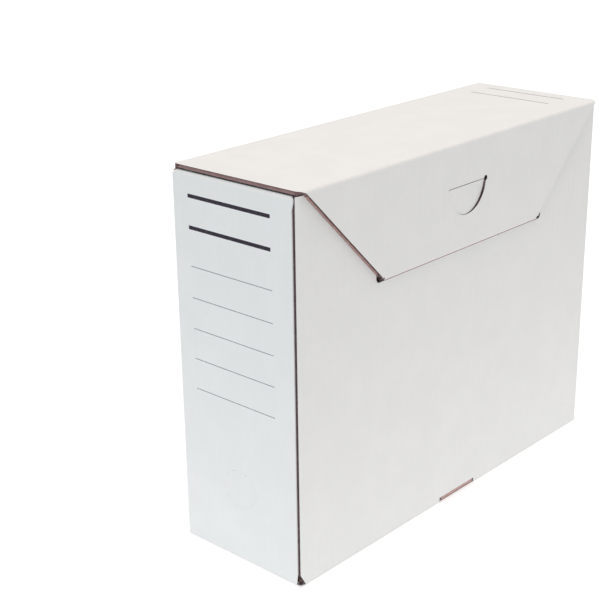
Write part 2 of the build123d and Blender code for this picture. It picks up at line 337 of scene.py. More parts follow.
from_edge = figure(edge_rub, "SUBTRACT", figure(edge_rub, "SUBTRACT", all_three, nearest), farthest)
rub_patch = graded(edge_rub, speckle(edge_rub, rub_place, scale=160.0, detail=4.0, rough=0.65), 0.52, 0.72)
near_edge = graded(edge_rub, from_edge, RUB_RUN, RUB_FULL)
feed(edge_rub, rub_out.inputs["Rub"], figure(edge_rub, "MULTIPLY", rub_patch, near_edge))

RIDGE_PAINTED_SHADE, FIBRE_TONE = 0.18, 0.35
FLECK_SHARE, FLECK_TINT = 0.22, 0.55
RUB_SHARE = 0.10
RUB_COLOUR = (0.50, 0.43, 0.38, 1.0)
PRINT_WOBBLE = 0.0003


def new_finish(name, specular):
    """New material with its tree, its shader, its pulp and the place on the piece."""
    material = bpy.data.materials.new(name)
    material.use_nodes = True
    tree = material.node_tree
    shader = tree.nodes["Principled BSDF"]
    shader.inputs["Specular IOR Level"].default_value = specular
    pulp = tree.nodes.new("ShaderNodeGroup")
    pulp.node_tree = paper_pulp
    place = tree.nodes.new("ShaderNodeTexCoord").outputs["Object"]
    return material, tree, shader, pulp, place


def roughen(tree, shader, height, strength, distance):
    """Gives the surface a fine relief."""
    bump = tree.nodes.new("ShaderNodeBump")
    bump.inputs["Strength"].default_value = strength
    bump.inputs["Distance"].default_value = distance
    feed(tree, bump.inputs["Height"], height)
    feed(tree, shader.inputs["Normal"], bump.outputs["Normal"])


def paper_finish(name, pale, dull, flutes_across, rough, prints=(), worn=True):
    """Matt paper with clouds, fibres and faint washboard ridges, the ridges bumped and also painted into its
    tone as faint shade, and printed bars if there are any.
    """
    material, tree, shader, pulp, place = new_finish(name, specular=0.25)
    split = tree.nodes.new("ShaderNodeSeparateXYZ")
    feed(tree, split.inputs[0], place)
    ridges = tree.nodes.new("ShaderNodeGroup")
    ridges.node_tree = washboard
    feed(tree, ridges.inputs["Across"], split.outputs[flutes_across])
    cloud_tone = graded(tree, pulp.outputs["Clouds"], 0.3, 0.7)
    # The ridges darken the tone in faint stripes: painted shade of the washboard.
    tone = figure(tree, "MULTIPLY_ADD", ridges.outputs["Ridges"], RIDGE_PAINTED_SHADE, cloud_tone)
    colour = mixed(tree, figure(tree, "MULTIPLY_ADD", pulp.outputs["Fibres"], FIBRE_TONE, tone), pale, dull)
    fleck_colour = tuple(FLECK_TINT * tint for tint in dull[:3]) + (1.0,)
    colour = mixed(tree, figure(tree, "MULTIPLY", pulp.outputs["Flecks"], FLECK_SHARE), colour, fleck_colour)
    if worn:
        rub = tree.nodes.new("ShaderNodeGroup")
        rub.node_tree = edge_rub
        colour = mixed(tree, figure(tree, "MULTIPLY", rub.outputs["Rub"], RUB_SHARE), colour, RUB_COLOUR)
    for ink, across, along, bars in prints:
        uneven = speckle(tree, place, scale=1400.0, detail=3.0)
        wobble = figure(tree, "MULTIPLY_ADD", uneven, PRINT_WOBBLE, -PRINT_WOBBLE / 2)
        across_place = figure(tree, "ADD", split.outputs[across], wobble)
        along_place = figure(tree, "ADD", split.outputs[along], wobble)
        cover = 0.0
        for middle, half, left, right in bars:
            inside_bar = figure(tree, "COMPARE", across_place, middle, half)
            between = figure(tree, "COMPARE", along_place, (left + right) / 2, (right - left) / 2)
            cover = figure(tree, "MULTIPLY_ADD", inside_bar, between, cover)
        patchy = speckle(tree, place, scale=700.0, detail=3.0, rough=0.7)
        density = graded(tree, patchy, 0.25, 0.55, to_low=0.95, to_high=1.0)
        colour = mixed(tree, figure(tree, "MULTIPLY", cover, density), colour, ink)
    feed(tree, shader.inputs["Base Color"], colour)
    dullness = graded(tree, pulp.outputs["Fibres"], 0.3, 0.7, to_low=rough - 0.08, to_high=rough + 0.08)
    feed(tree, shader.inputs["Roughness"], dullness)
    relief = figure(tree, "MULTIPLY_ADD", ridges.outputs["Ridges"], 1.4, pulp.outputs["Fibres"])
    relief = figure(tree, "MULTIPLY_ADD", pulp.outputs["Clouds"], 1.5, relief)
    roughen(tree, shader, relief, strength=0.35, distance=0.00006)
    return material


def raw_finish(name, pale, dark):
    """Cut edge and core of the board: brown waste-paper pulp with torn streaks."""
    material, tree, shader, pulp, place = new_finish(name, specular=0.15)
    torn = speckle(tree, stretched(tree, place, (1.0, 0.35, 1.0)), scale=420.0, detail=4.0, rough=0.7)
    streaks = graded(tree, torn, 0.3, 0.7, to_low=0.0, to_high=0.8)
    share = figure(tree, "MULTIPLY_ADD", pulp.outputs["Fibres"], 0.4, streaks)
    feed(tree, shader.inputs["Base Color"], mixed(tree, share, pale, dark))
    feed(tree, shader.inputs["Roughness"], graded(tree, torn, 0.3, 0.7, to_low=0.86, to_high=0.98))
    relief = figure(tree, "ADD", torn, pulp.outputs["Fibres"])
    roughen(tree, shader, relief, strength=0.6, distance=0.00015)
    return material


WHITE = (0.835, 0.835, 0.828, 1.0)
WHITE_DULL = (0.810, 0.811, 0.805, 1.0)
BROWN = (0.440, 0.300, 0.190, 1.0)
BROWN_DULL = (0.370, 0.245, 0.150, 1.0)
long_white = paper_finish("white_paper_long_walls", WHITE, WHITE_DULL, "X", 0.72)
long_brown = paper_finish("brown_paper_long_walls", BROWN, BROWN_DULL, "X", 0.84, worn=False)
raw_core = raw_finish("raw_board_core", (0.685, 0.455, 0.428, 1.0), (0.465, 0.290, 0.270, 1.0))
# The papers' cut edges are dark brown: partly their own colour, partly painted shade of the thin dark lines
# along raw ends and fold ends.
cut_paper_painted_shade = raw_finish("raw_paper_cut_and_painted_shade", (0.280, 0.180, 0.175, 1.0), (0.156, 0.095, 0.096, 1.0))
EDGES = (cut_paper_painted_shade, raw_core)


def in_back(across, along, depth):
    """Place in the back wall."""
    return across, BACK_IN + depth, along


back_blank = blank(rectangle(-WALL_HALF, WALL_HALF, FLOOR_FOLD, LID_UNDER - CREASE_ROOM))
back_wall = corrugated("back_wall_board", back_blank, in_back, long_white, long_brown, EDGES)
back_fold = fold_bar("back_bottom_fold", fold_section(0.0, 0.0, BOARD),
                     lambda out, down: (-WALL_HALF, WALL_HALF),
                     lambda out, down, x: (x, BACK_IN + out, FLOOR_FOLD - down),
                     long_white, long_brown, cut_paper_painted_shade)
weld(back_wall, back_fold)
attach(back_wall, "carcass")
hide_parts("back_wall")


# Spine wall: the narrow end that faces out of a shelf, with printed rules to write between.
# The same board, flutes upright. Both upright edges are folded, to the back wall and to the glue flap.
# A finger hole is half cut low down and stays closed by its own disc. The top is folded over under the lid.
SPINE_IN = -0.162
GLUE_IN = -0.04525
END_TOP = 0.2557
TOP_NOTCH = 0.004
HOLE_Y = 0.00165
HOLE_Z = 0.0516
HOLE_RADIUS = 0.0135
DISC_CREASE_Z = 0.063969
DISC_CREASE_HALF = 0.0054
DISC_ROOM_UP, DISC_ROOM_DOWN = 0.001, 0.0005
OVERCUT = 0.001
TOP_SKIN = 0.0001
GLUE_FOLD_RISE = 0.0075
GLUE_FOLD_SLANT = 0.85
SEAM_FOLD_RADIUS = 0.0008
DRAWN_DROP, DRAWN_RUN, DRAWN_START = 0.0075, 0.0013, 0.0005
DRAWN_SIDE, DRAWN_TOP = 0.0018, 0.0025
DRAWN_LAP, DRAWN_PAPER = 0.0004, 0.0007
INK = (0.022, 0.014, 0.027, 1.0)
RULE_INK = (0.170, 0.178, 0.202, 1.0)
BAR_HEIGHTS, BAR_HALF = (0.2437, 0.2231), 0.00128
RULE_HEIGHTS, RULE_HALF = (0.1974, 0.1762, 0.1551, 0.1342, 0.1131), 0.00024
spine_bars = [(height, BAR_HALF, -0.0309, 0.0397) for height in BAR_HEIGHTS]
spine_rules = [(height, RULE_HALF, -0.0315, 0.0390) for height in RULE_HEIGHTS]
spine_white = paper_finish("white_paper_spine", WHITE, WHITE_DULL, "Y", 0.72,
                           [(INK, "Z", "Y", spine_bars), (RULE_INK, "Z", "Y", spine_rules)])
end_white = paper_finish("white_paper_ends", WHITE, WHITE_DULL, "Y", 0.72)
end_brown = paper_finish("brown_paper_ends", BROWN, BROWN_DULL, "Y", 0.84, worn=False)


def slice_at(piece, planes, **trim):
    """Cuts a piece along planes, each a place and a direction. trim says what is closed and cleared away."""
    pick(piece)
    bpy.ops.object.mode_set(mode="EDIT")
    for place, direction in planes:
        bpy.ops.mesh.select_all(action="SELECT")
        bpy.ops.mesh.bisect(plane_co=place, plane_no=direction, **trim)
    bpy.ops.object.mode_set(mode="OBJECT")


def disc_blank(middle, height, radius, cut_height):
    """Round plate with its top cut off straight."""
    clear_selection()
    bpy.ops.mesh.primitive_cylinder_add(vertices=96, radius=radius, depth=BOARD, location=(0.0, 0.0, 0.0))
    piece = bpy.context.object
    for vertex in piece.data.vertices:
        vertex.co = (vertex.co.x + middle, vertex.co.y + height, vertex.co.z + BOARD / 2)
    slice_at(piece, [((middle, cut_height, 0.0), (0.0, 1.0, 0.0))], use_fill=True, clear_outer=True)
    face_outwards(piece)
    return piece


def through(piece):
    """Makes a cutting tool longer than the board is thick."""
    for vertex in piece.data.vertices:
        vertex.co.z = BOARD + OVERCUT if vertex.co.z > BOARD / 2 else -OVERCUT
    return piece


def rounded_corner(x, y, side, length, outside):
    """Upper corner of an end wall, where two folds meet: an eighth of a ball, drawn out to length."""
    clear_selection()
    bpy.ops.mesh.primitive_uv_sphere_add(segments=64, ring_count=32, radius=BOARD, location=(0.0, 0.0, 0.0))
    corner = bpy.context.object
    middle = (0.0, 0.0, 0.0)
    planes = [(middle, (-side, 0.0, 0.0)), (middle, (0.0, -1.0, 0.0)), (middle, (0.0, 0.0, -1.0))]
    slice_at(corner, planes, use_fill=True, clear_outer=True)
    for vertex in corner.data.vertices:
        vertex.co = (vertex.co.x + x, vertex.co.y * length / BOARD + y, vertex.co.z + END_TOP)
    corner.data.materials.append(outside)
    face_outwards(corner)
    pick(corner)
    bpy.ops.object.shade_smooth_by_angle(angle=SMOOTH_ANGLE)
    return corner


def set_in(piece, place, finish):
    """Gives a small piece one finish and sets it in the box by place."""
    piece.data.materials.append(finish)
    for vertex in piece.data.vertices:
        vertex.co = place(*vertex.co)
    face_outwards(piece)


def whiten_top(piece):
    """Lets the white paper cover an end wall's top edge at its back corner."""
    for face in piece.data.polygons:
        if face.center.z > END_TOP - TOP_SKIN:
            face.material_index = OUTSIDE


def in_spine(across, along, depth):
    """Place in the spine wall."""
    return SPINE_IN - depth, across, along


spine_blank = blank([(GLUE_IN, 0.0), (BACK_IN, 0.0), (BACK_IN, END_TOP), (BACK_IN - TOP_NOTCH, END_TOP),
                     (BACK_IN - TOP_NOTCH, END_TOP - CREASE_ROOM), (GLUE_IN, END_TOP - CREASE_ROOM)])
combine(spine_blank, through(disc_blank(HOLE_Y, HOLE_Z, HOLE_RADIUS, DISC_CREASE_Z)))
combine(spine_blank, through(blank(rectangle(HOLE_Y - DISC_CREASE_HALF, HOLE_Y + DISC_CREASE_HALF,
                                             DISC_CREASE_Z - DISC_ROOM_DOWN, DISC_CREASE_Z + DISC_ROOM_UP))))
spine_wall = corrugated("spine_wall_board", spine_blank, in_spine, spine_white, end_brown, EDGES)
upright = fold_section(0.0, 0.0, BOARD)
spine_back_fold = fold_bar("spine_back_fold", upright, lambda out, up: (0.0, END_TOP),
                           lambda out, side, z: (SPINE_IN - out, BACK_IN + side, z),
                           end_white, end_brown, end_white)


def in_seam_fold(out, side, z):
    """Place in the fold beside the seam."""
    return SPINE_IN - out, GLUE_IN - side, z


sharp = fold_section(0.0, 0.0, SEAM_FOLD_RADIUS)


def seam_fold_ends(out, side):
    """Ends of the seam's fold: square beside the spine, cut at a slant towards the glue flap."""
    share = max(0.0, side / BOARD - GLUE_FOLD_SLANT) / (1.0 - GLUE_FOLD_SLANT)
    return GLUE_FOLD_RISE * share, END_TOP


spine_front_fold = fold_bar("spine_front_fold", sharp, seam_fold_ends, in_seam_fold,
                            end_white, end_brown, cut_paper_painted_shade)
spine_corner = fold_bar("spine_corner", sharp, lambda out, side: (END_TOP, END_TOP + BOARD), in_seam_fold,
                        end_white, end_white, end_white)
corner_top = fold_bar("spine_corner_top", upright, lambda out, up: (GLUE_IN - 2 * BOARD, GLUE_IN + BOARD),
                      lambda out, up, y: (SPINE_IN - out, y, END_TOP + up), end_white, end_white, end_white)
combine(spine_corner, corner_top, "INTERSECT")
bpy.ops.object.shade_smooth_by_angle(angle=SMOOTH_ANGLE)
back_corner_run = TOP_NOTCH + BOARD - PAPER
spine_back_corner = rounded_corner(SPINE_IN, BACK_IN - TOP_NOTCH, -1, back_corner_run, end_white)
seam_side = GLUE_IN - BOARD
drawn_paper = blank([(seam_side + DRAWN_LAP, END_TOP - DRAWN_DROP),
                     (seam_side - DRAWN_RUN, END_TOP - DRAWN_START),
                     (seam_side - DRAWN_RUN, END_TOP + DRAWN_SIDE),
                     (seam_side - DRAWN_RUN / 2, END_TOP + DRAWN_TOP),
                     (seam_side + DRAWN_LAP, END_TOP + DRAWN_TOP)], BOARD - DRAWN_PAPER, BOARD)
set_in(drawn_paper, in_spine, end_white)
whiten_top(spine_wall)
weld(spine_wall, spine_back_fold, spine_front_fold, spine_corner, spine_back_corner, drawn_paper)
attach(spine_wall, "carcass")
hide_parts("spine_wall")


# Rear end wall: the narrow end at the back of a shelf, plain.
# The same board with two upright folds, to the back and front walls, and its top folded under the lid.
REAR_IN = 0.162
FRONT_IN = -0.04835


def in_rear(across, along, depth):
    """Place in the rear end wall."""
    return REAR_IN + depth, across, along


rear_blank = blank([(FRONT_IN, 0.0), (BACK_IN, 0.0), (BACK_IN, END_TOP), (BACK_IN - TOP_NOTCH, END_TOP),
                    (BACK_IN - TOP_NOTCH, END_TOP - CREASE_ROOM), (FRONT_IN, END_TOP - CREASE_ROOM)])
rear_wall = corrugated("rear_end_wall_board", rear_blank, in_rear, end_white, end_brown, EDGES)
rear_back_fold = fold_bar("rear_back_fold", upright, lambda out, up: (0.0, END_TOP),
                          lambda out, side, z: (REAR_IN + out, BACK_IN + side, z),
                          end_white, end_brown, end_white)
rear_front_fold = fold_bar("rear_front_fold", upright, lambda out, up: (0.0, END_TOP),
                           lambda out, side, z: (REAR_IN + out, FRONT_IN - side, z),
                           end_white, end_brown, cut_paper_painted_shade)
rear_corner = rounded_corner(REAR_IN, FRONT_IN, 1, -BOARD, end_white)
rear_back_corner = rounded_corner(REAR_IN, BACK_IN - TOP_NOTCH, 1, back_corner_run, end_white)
whiten_top(rear_wall)
weld(rear_wall, rear_back_fold, rear_front_fold, rear_corner, rear_back_corner)
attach(rear_wall, "carcass")
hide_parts("rear_end_wall")


# Front wall: the large panel that the flap closes on, the last panel of the folded sleeve.
# The same board with upright flutes. Its cut edge laps the glue flap at the seam, with a bevelled foot.
# A slot takes the flap's tongue, a recess above it gives room for the thumb, a notch locks the bottom.
SEAM_X = -0.1642
WALL_TOP = 0.2587
SEAM_BEVEL_RISE = 0.0075
SEAM_BEVEL_RUN = 0.0038
NOTCH_LEFT, NOTCH_RIGHT, NOTCH_TOP = -0.018, 0.023, 0.0031
SLOT_LEFT, SLOT_RIGHT, SLOT_LOW, SLOT_TOP = -0.091, 0.096, 0.1861, 0.2079
SLOT_RADIUS = 0.003
RECESS_LEFT, RECESS_RIGHT, RECESS_TOP = -0.0235, 0.0285, 0.2365
RECESS_RADIUS = 0.008
SEAM_CRUSH = 0.32
SEAM_CRUSH_RUN = 0.0045
SEAM_CRUSH_STEPS = (0.0007, 0.0015, 0.0025, SEAM_CRUSH_RUN)
SLOT_MARGIN = 0.001
CORNER_SEGMENTS = 8


def round_corners(piece, places, radius):
    """Rounds a plate's corners at these places."""
    pick(piece)
    bpy.context.tool_settings.mesh_select_mode = (False, True, False)
    bpy.ops.object.mode_set(mode="EDIT")
    bpy.ops.mesh.select_all(action="DESELECT")
    bpy.ops.object.mode_set(mode="OBJECT")
    for edge in piece.data.edges:
        first, second = (piece.data.vertices[index].co for index in edge.vertices)
        upright_edge = (first.xy - second.xy).length < SAME_PLACE
        near = any(math.dist(first.xy, place) < SAME_PLACE for place in places)
        edge.select = upright_edge and near
    bpy.ops.object.mode_set(mode="EDIT")
    bpy.ops.mesh.bevel(offset=radius, segments=CORNER_SEGMENTS, affect="EDGES")
    bpy.ops.object.mode_set(mode="OBJECT")


def in_front(across, along, depth):
    """Place in the front wall."""
    return across, FRONT_IN - depth, along


front_blank = blank([(SEAM_X, SEAM_BEVEL_RISE), (SEAM_X + SEAM_BEVEL_RUN, 0.0), (NOTCH_LEFT, 0.0),
                     (NOTCH_LEFT, NOTCH_TOP), (NOTCH_RIGHT, NOTCH_TOP), (NOTCH_RIGHT, 0.0), (WALL_HALF, 0.0),
                     (WALL_HALF, WALL_TOP), (SEAM_X, WALL_TOP)])
slot_tool = blank([(SLOT_LEFT, SLOT_LOW), (SLOT_RIGHT, SLOT_LOW), (SLOT_RIGHT, SLOT_TOP),
                   (RECESS_RIGHT, SLOT_TOP), (RECESS_RIGHT, RECESS_TOP), (RECESS_LEFT, RECESS_TOP),
                   (RECESS_LEFT, SLOT_TOP), (SLOT_LEFT, SLOT_TOP)])
round_corners(slot_tool, rectangle(SLOT_LEFT, SLOT_RIGHT, SLOT_LOW, SLOT_TOP), SLOT_RADIUS)
round_corners(slot_tool, [(RECESS_LEFT, RECESS_TOP), (RECESS_RIGHT, RECESS_TOP)], RECESS_RADIUS)
combine(front_blank, through(slot_tool))
# The front wall's raw edges take a dark copy of the raw board: painted shade of the narrow gap at the seam.
# This dark copy also paints shade on the lid's lower edges, the tab's cut, the flap's foot and the creases.
raw_painted_shade = raw_finish("raw_edge_painted_shade", (0.335, 0.262, 0.272, 1.0), (0.190, 0.146, 0.158, 1.0))
# A paler copy of the raw board, painted light, for the slot's raw edges and the tongue's tip.
raw_painted_light = raw_finish("raw_edge_painted_light", (0.700, 0.490, 0.460, 1.0), (0.540, 0.360, 0.335, 1.0))
front_wall = corrugated("front_wall_board", front_blank, in_front, long_white, long_brown,
                        (raw_painted_shade, raw_painted_shade))
front_wall.data.materials.append(raw_painted_light)
for face in front_wall.data.polygons:
    across_slot = SLOT_LEFT - SLOT_MARGIN < face.center.x < SLOT_RIGHT + SLOT_MARGIN
    up_slot = SLOT_LOW - SLOT_MARGIN < face.center.z < RECESS_TOP + SLOT_MARGIN
    if across_slot and up_slot and face.material_index == CUT and abs(face.normal.y) < 0.5:
        face.material_index = LIGHT_AND_SHADE_CUT
slice_at(front_wall, [((SEAM_X + run, 0.0, 0.0), (1.0, 0.0, 0.0)) for run in SEAM_CRUSH_STEPS])
for vertex in front_wall.data.vertices:
    share = max(0.0, 1.0 - (vertex.co.x - SEAM_X) / SEAM_CRUSH_RUN)
    vertex.co.y = FRONT_IN + (vertex.co.y - FRONT_IN) * (1.0 - SEAM_CRUSH * share * share)
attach(front_wall, "carcass")
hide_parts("front_wall")


# Glue flap: a strip turned in from the spine, with tapered ends, glued behind the front wall's cut edge.
# It closes the sleeve, and shows only inside the box.
GLUE_EDGE = -0.132
GLUE_LOW, GLUE_HIGH, GLUE_TAPER = 0.012, 0.2467, 0.008


def behind_front(across, along, depth):
    """Place in a board glued to the front wall's inside."""
    return across, GLUE_IN - depth, along


glue_blank = blank([(SPINE_IN, GLUE_LOW), (GLUE_EDGE, GLUE_LOW + GLUE_TAPER),
                    (GLUE_EDGE, GLUE_HIGH - GLUE_TAPER), (SPINE_IN, GLUE_HIGH)])
glue_flap = corrugated("glue_flap_board", glue_blank, behind_front, long_white, long_brown, EDGES, start=0.2)
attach(glue_flap, "carcass")
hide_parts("glue_flap")


# Bottom panel: turned in from the back wall, with a tongue that fills the front wall's foot notch.
# The same board, flutes from front to back, with corner ears. The ear at the seam shows at its bevelled foot.
# Three flaps are folded up from it and glued inside the walls.
BOTTOM_END = 0.1589
TONGUE_LEFT, TONGUE_RIGHT, TONGUE_TIP = -0.015, 0.0221, -0.05105
FRONT_FOLD_HALF = 0.128
END_FOLD_FRONT, END_FOLD_BACK = -0.04025, 0.04665
FLAP_HIGH, FLAP_TAPER = 0.030, 0.008
TONGUE_CUT = 0.0088
TONGUE_END_FROM, TONGUE_END_TO = TONGUE_TIP + 0.0002, TONGUE_TIP + 0.0010
EAR_END, EAR_FRONT = 0.1616, -0.0483
EAR_BACK = END_FOLD_FRONT - 0.0006
EAR_SIDE = FRONT_FOLD_HALF + 0.002
SEAM_EAR = [(-EAR_END, -0.0478), (-0.1638, -0.0484), (-0.1638, -0.0499), (-0.1622, -0.0505),
            (-0.1622, -0.0486), (-0.1610, EAR_FRONT)]
EAR_SHADE_X, EAR_SHADE_Y = -0.1608, -0.0480

bottom_blank = blank([(-BOTTOM_END, EAR_BACK), (-EAR_END, EAR_BACK), *SEAM_EAR, (-EAR_SIDE, EAR_FRONT),
                      (-EAR_SIDE, GLUE_IN), (TONGUE_LEFT, GLUE_IN), (TONGUE_LEFT, TONGUE_TIP),
                      (TONGUE_RIGHT, TONGUE_TIP), (TONGUE_RIGHT, GLUE_IN), (EAR_SIDE, GLUE_IN),
                      (EAR_SIDE, EAR_FRONT), (EAR_END, EAR_FRONT), (EAR_END, EAR_BACK),
                      (BOTTOM_END, EAR_BACK), (BOTTOM_END, BACK_IN), (-BOTTOM_END, BACK_IN)])


def in_bottom(across, along, depth):
    """Place in the bottom panel."""
    return across, along, BOARD - depth


bottom_panel = corrugated("bottom_panel_board", bottom_blank, in_bottom, long_white, long_brown, EDGES)
# The ear reaches into the seam's bevelled foot, and its raw faces there are painted near black: painted shade
# of the hole behind the bevel.
painted_ear_shade = raw_finish("corner_ear_painted_shade", (0.120, 0.082, 0.105, 1.0), (0.070, 0.046, 0.062, 1.0))
bottom_panel.data.materials.append(painted_ear_shade)
for face in bottom_panel.data.polygons:
    on_shaded_ear = face.center.x < EAR_SHADE_X and face.center.y < EAR_SHADE_Y
    if on_shaded_ear and face.material_index != OUTSIDE:
        face.material_index = LIGHT_AND_SHADE_CUT
# A pale plate fills the flute hollows at the tongue's tip: painted light that lifts the shade in the hollows
# and at the floor.
tongue_end = blank(rectangle(TONGUE_LEFT, TONGUE_RIGHT, TONGUE_END_FROM, TONGUE_END_TO), PAPER, BOARD - PAPER)
set_in(tongue_end, in_bottom, raw_painted_light)


def in_front_foot(out, down, x):
    """Place in the fold at the bottom's front."""
    return x, GLUE_IN - out, FLOOR_FOLD - down


bottom_folds = []
for left, right in ((-FRONT_FOLD_HALF, NOTCH_LEFT), (NOTCH_RIGHT, FRONT_FOLD_HALF)):
    bottom_folds.append(
        fold_bar("bottom_front_fold", upright, lambda out, down: (left, right), in_front_foot,
                 long_white, long_brown, cut_paper_painted_shade))
for side in (-1, 1):
    bottom_folds.append(
        fold_bar("bottom_end_fold", upright, lambda out, down: (END_FOLD_FRONT, END_FOLD_BACK),
                 lambda out, down, y: (side * (BOTTOM_END + out), y, FLOOR_FOLD - down),
                 long_white, long_brown, cut_paper_painted_shade))
weld(bottom_panel, tongue_end, *bottom_folds)
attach(bottom_panel, "carcass")
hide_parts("bottom_panel")

cut_top = FLOOR_FOLD + TONGUE_CUT
front_flap_top = FRONT_FOLD_HALF - FLAP_TAPER
front_flap_blank = blank([(-FRONT_FOLD_HALF, FLOOR_FOLD), (NOTCH_LEFT, FLOOR_FOLD), (NOTCH_LEFT, cut_top),
                          (NOTCH_RIGHT, cut_top), (NOTCH_RIGHT, FLOOR_FOLD), (FRONT_FOLD_HALF, FLOOR_FOLD),
                          (front_flap_top, FLAP_HIGH), (-front_flap_top, FLAP_HIGH)])
front_flap = corrugated("front_bottom_flap_board", front_flap_blank, behind_front,
                        long_white, long_brown, EDGES)
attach(front_flap, "carcass")
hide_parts("front_bottom_flap")

for side, node in ((-1, "spine_bottom_flap"), (1, "rear_bottom_flap")):
    end_flap_blank = blank([(FLOOR_FOLD, END_FOLD_FRONT), (FLAP_HIGH, END_FOLD_FRONT + FLAP_TAPER),
                            (FLAP_HIGH, END_FOLD_BACK - FLAP_TAPER), (FLOOR_FOLD, END_FOLD_BACK)])
    end_flap = corrugated(node + "_board", end_flap_blank,
                          lambda across, along, depth: (side * (BOTTOM_END + depth), along, across),
                          end_white, end_brown, EDGES)
    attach(end_flap, "carcass")
    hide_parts(node)


# Lid: the top panel, turned over from the back wall, with its raw ends showing over the end walls.
# The same board, flutes from back to front, with two printed lines near the rear end.
# Its back crease is one bent stretch of board.
LID_LEFT, LID_RIGHT = -0.1635, 0.1627
FLAP_IN = -0.05165
LID_BEND = 0.0021
LID_CREASE_CRUSH = 0.0013
LID_EDGE_SHADE_DEPTH, LID_EDGE_SHADE_RUN = 0.0007, 0.001
LINE_HALF = 0.00042
lid_lines = [(0.1291, LINE_HALF, -0.0330, 0.0360), (0.1493, LINE_HALF, -0.0330, 0.0350)]
lid_white = paper_finish("white_paper_lid", WHITE, WHITE_DULL, "X", 0.72, [(INK, "X", "Y", lid_lines)])
LID_FRONT, LID_BACK = FLAP_IN + CREASE_ROOM, BACK_IN - CREASE_ROOM


def in_lid(across, along, depth):
    """Place in the lid."""
    return across, along, LID_UNDER + depth


lid_blank = blank(rectangle(LID_LEFT, LID_RIGHT, LID_FRONT, LID_BACK))
lid = corrugated("lid_panel_board", lid_blank, in_lid, lid_white, long_brown, EDGES, start=0.5)
# A thin dark strip along the bottom of each raw end of the lid: painted shade of the gap under the lid.
for left, right in ((LID_LEFT, LID_LEFT + LID_EDGE_SHADE_RUN), (LID_RIGHT - LID_EDGE_SHADE_RUN, LID_RIGHT)):
    shaded_lower_edge = blank(rectangle(left, right, LID_FRONT, LID_BACK), 0.0, LID_EDGE_SHADE_DEPTH)
    set_in(shaded_lower_edge, in_lid, raw_painted_shade)
    weld(lid, shaded_lower_edge)
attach(lid, "lid")
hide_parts("lid_panel")


def lid_ends(out, up):
    """Ends of the lid's folds: full width at the lid, cut off at the corners."""
    cut = max(0.0, out)
    return LID_LEFT + cut, LID_RIGHT - cut


crease = fold_section(CREASE_ROOM, CREASE_ROOM, LID_BEND, LID_CREASE_CRUSH)
lid_back_fold = fold_bar("lid_back_fold", crease, lid_ends,
                         lambda out, up, x: (x, BACK_IN + out, LID_UNDER + up),
                         long_white, long_brown, cut_paper_painted_shade)
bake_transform(lid_back_fold)


# Closing flap: hangs from the lid's front edge before the wall, with sides cut at a slant across the flutes.
# The same board. A half-moon thumb tab is cut in it, and its bottom edge is folded back to a tongue.
# The crease at the lid is one bent stretch of board.
FLAP_TOP_HALF = 0.160
FLAP_AXIS_Z = 0.2605
FLAP_FOOT_HALF = 0.0895
FLAP_FOOT = 0.190
FLAP_CORNER_RADIUS = 0.0016
TUCK_HALF = 0.0865
TAB_CREASE_Z = 0.2325
TAB_RADIUS = 0.0205
TAB_CUT = 0.0003
STOP_RADIUS = 0.0019
TAB_CREASE_LEFT, TAB_CREASE_RIGHT = -0.0206, 0.0189
TAB_UNDERCUT = 0.0005
TAB_EDGE_REACH, FOOT_EDGE_REACH = 0.004, 0.003
NO_CUT = 1.0
FLAP_SIDE_LIP, FLAP_SIDE_REACH, FLAP_LIP_FROM = 0.0014, 0.0012, 0.0005
PAST_PAPER = 1.1 * PAPER
SIDE_CORE_FROM, SIDE_CORE_TO, SIDE_CORE_DEPTH = 0.0003, 0.0015, 0.36 * BOARD
FLAP_SHOULDER = math.radians(60.0)
DRAWN_IN_FROM, DRAWN_IN_RUN = -0.0006, 0.0020
UNDER_CREASE = -0.0001


def flap_side(height):
    """Half the flap's width at this height."""
    return FLAP_TOP_HALF - (FLAP_AXIS_Z - height)


def eased(share):
    """Share from 0 to 1 that starts and ends gently."""
    share = min(1.0, max(0.0, share))
    return share * share * (3 - 2 * share)


flap_top = LID_UNDER - CREASE_ROOM
tongue_room = FLAP_FOOT + CREASE_ROOM
flap_blank = blank([(-FLAP_FOOT_HALF, FLAP_FOOT), (-TUCK_HALF, FLAP_FOOT), (-TUCK_HALF, tongue_room),
                    (TUCK_HALF, tongue_room), (TUCK_HALF, FLAP_FOOT), (FLAP_FOOT_HALF, FLAP_FOOT),
                    (flap_side(flap_top), flap_top), (-flap_side(flap_top), flap_top)])
round_corners(flap_blank, [(-FLAP_FOOT_HALF, FLAP_FOOT), (FLAP_FOOT_HALF, FLAP_FOOT)], FLAP_CORNER_RADIUS)
combine(flap_blank, through(disc_blank(0.0, TAB_CREASE_Z, TAB_RADIUS + TAB_CUT, TAB_CREASE_Z)))
combine(flap_blank, through(blank(rectangle(TAB_CREASE_LEFT, TAB_CREASE_RIGHT, TAB_CREASE_Z - OVERCUT,
                                            TAB_CREASE_Z + CREASE_ROOM))))
combine(flap_blank, through(disc_blank(TAB_RADIUS, TAB_CREASE_Z, STOP_RADIUS, NO_CUT)))


def in_flap(across, along, depth):
    """Place in the closing flap."""
    return across, FLAP_IN - depth, along


# The flap's core and the outer half of its cut edges take the dark paper-cut finish: painted shade of the
# flute hollows along the slanted sides.
closing_flap = corrugated("closure_flap_board", flap_blank, in_flap, long_white, long_brown,
                          (raw_core, cut_paper_painted_shade))
closing_flap.data.materials.append(raw_painted_shade)
